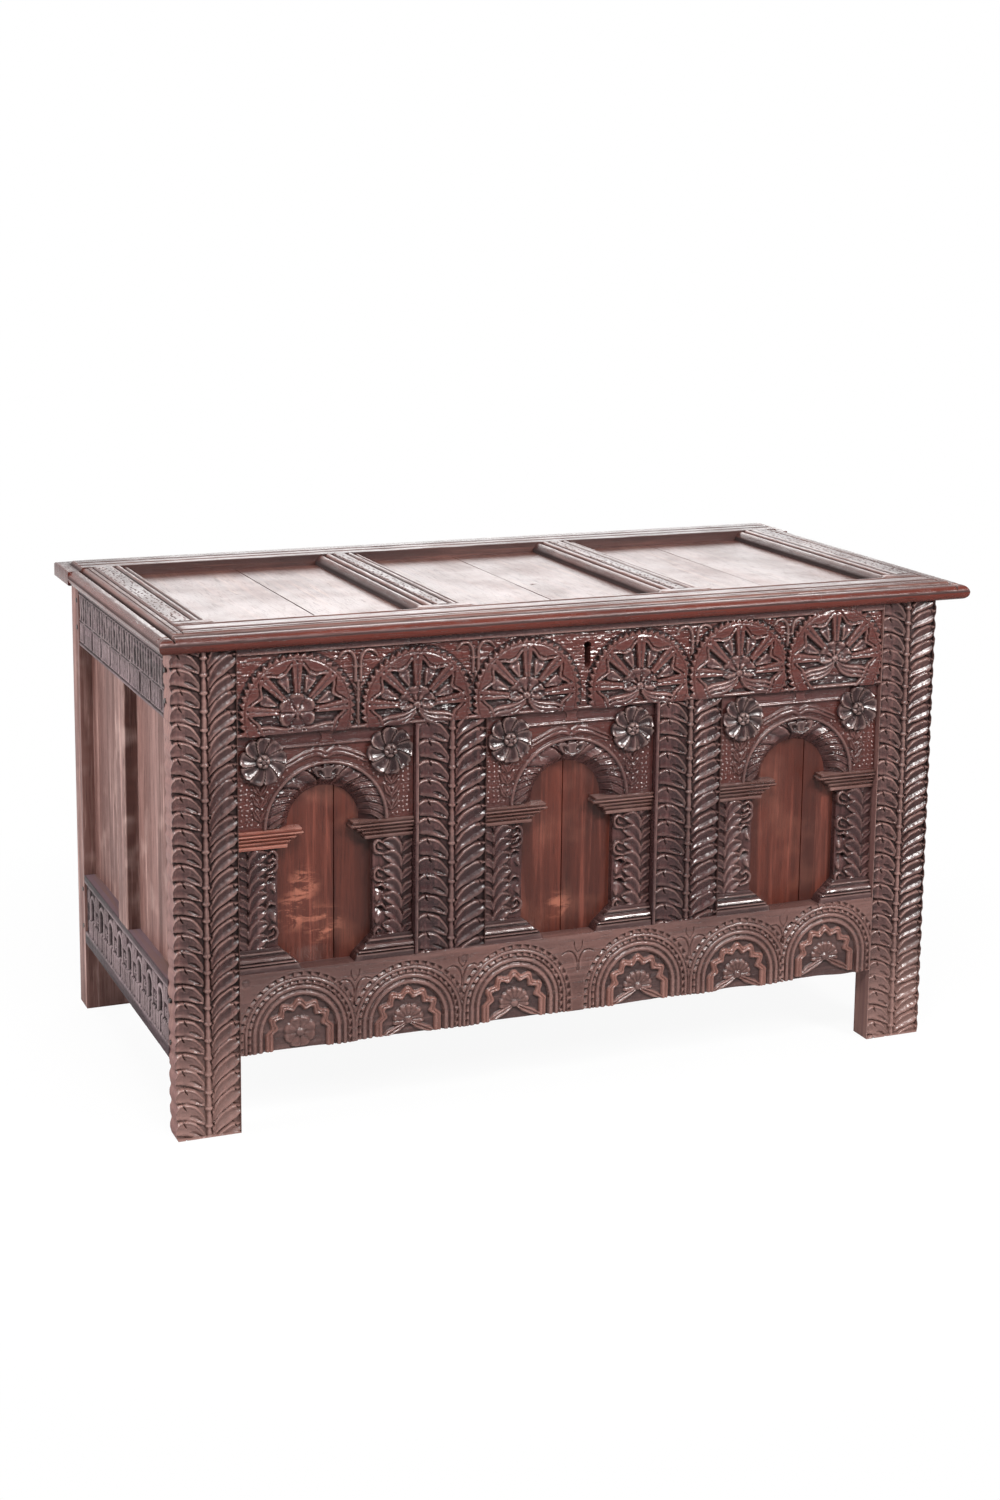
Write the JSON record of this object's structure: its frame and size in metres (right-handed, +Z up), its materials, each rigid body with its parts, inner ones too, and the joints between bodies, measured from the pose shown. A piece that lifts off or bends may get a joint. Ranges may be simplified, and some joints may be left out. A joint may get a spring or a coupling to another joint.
{
  "type": "coffer chest",
  "caption": "Joined oak coffer with a hinged panelled lid, carved front with arcaded panels, framed ends and back, boarded floor and a box lock behind the keyhole.",
  "frame": {"origin": "on the floor under the middle of the overall box, which the lid sets", "axes": "+Z up, -Y towards the carved front, +X to the right seen from the front"},
  "size_m": [1.375, 0.721, 0.78],
  "materials": {
    "carved_oak": "dark waxed oak, carved, worn bright on the high points",
    "arcade_oak": "dark waxed oak, carved and moulded",
    "red_brown_panel_oak": "plain red-brown oak boards, satin wax",
    "end_oak": "old oak, worn and dusty",
    "plain_oak": "plain old oak, dry",
    "lid_frame_oak": "moulded oak with a polished rounded edge",
    "lid_panel_oak": "oak boards with a soft wax sheen",
    "oak_pegs": "dark end-grain oak",
    "wrought_iron": "blackened wrought iron"
  },
  "bodies": {
    "carcass": {"arch_board_centre": "arcade_oak", "arch_board_left": "arcade_oak", "arch_board_right": "arcade_oak", "floor_boards": "plain_oak", "frame_pegs": "oak_pegs", "front_bottom_rail": "carved_oak", "front_muntin_left": "carved_oak", "front_muntin_right": "carved_oak", "front_panel_centre": "red_brown_panel_oak", "front_panel_left": "red_brown_panel_oak", "front_panel_right": "red_brown_panel_oak", "front_stile_left": "carved_oak", "front_stile_right": "carved_oak", "front_top_rail": "carved_oak", "hinge_leaves_carcass": "wrought_iron", "hinge_nails_carcass": "wrought_iron", "hinge_pins": "wrought_iron", "imposts_centre": "arcade_oak", "imposts_left": "arcade_oak", "imposts_right": "arcade_oak", "keystones": "arcade_oak", "left_end_bottom_rail": "end_oak", "left_end_muntin": "end_oak", "left_end_panels": "end_oak", "left_end_top_rail": "end_oak", "lock_case": "wrought_iron", "lock_nails": "wrought_iron", "pilaster_bases_centre": "arcade_oak", "pilaster_bases_left": "arcade_oak", "pilaster_bases_right": "arcade_oak", "pilasters_centre": "arcade_oak", "pilasters_left": "arcade_oak", "pilasters_right": "arcade_oak", "rear_bottom_rail": "plain_oak", "rear_muntins": "plain_oak", "rear_panels": "plain_oak", "rear_stile_left": "plain_oak", "rear_stile_right": "plain_oak", "rear_top_rail": "plain_oak", "right_end_bottom_rail": "end_oak", "right_end_muntin": "end_oak", "right_end_panels": "end_oak", "right_end_top_rail": "end_oak", "rosettes": "arcade_oak"},
    "lid": {"hinge_leaves_lid": "wrought_iron", "hinge_nails_lid": "wrought_iron", "lid_front_rail": "lid_frame_oak", "lid_muntin_left": "lid_frame_oak", "lid_muntin_right": "lid_frame_oak", "lid_panel_centre": "lid_panel_oak", "lid_panel_left": "lid_panel_oak", "lid_panel_right": "lid_panel_oak", "lid_rear_rail": "lid_frame_oak", "lid_stile_left": "lid_frame_oak", "lid_stile_right": "lid_frame_oak", "lock_staple": "wrought_iron"},
    "lock_bolt": {"lock_bolt": "wrought_iron"}
  },
  "joints": [
    {"name": "lid_hinge", "type": "hinge", "parent": "carcass", "child": "lid", "pos_m": [-0.02, 0.3085, 0.747], "axis": [-1, 0, 0], "range_deg": [0, 95]},
    {"name": "lock_bolt_slide", "type": "slide", "parent": "carcass", "child": "lock_bolt", "axis": [1, 0, 0], "range_m": [0, 0.012]}
  ]
}
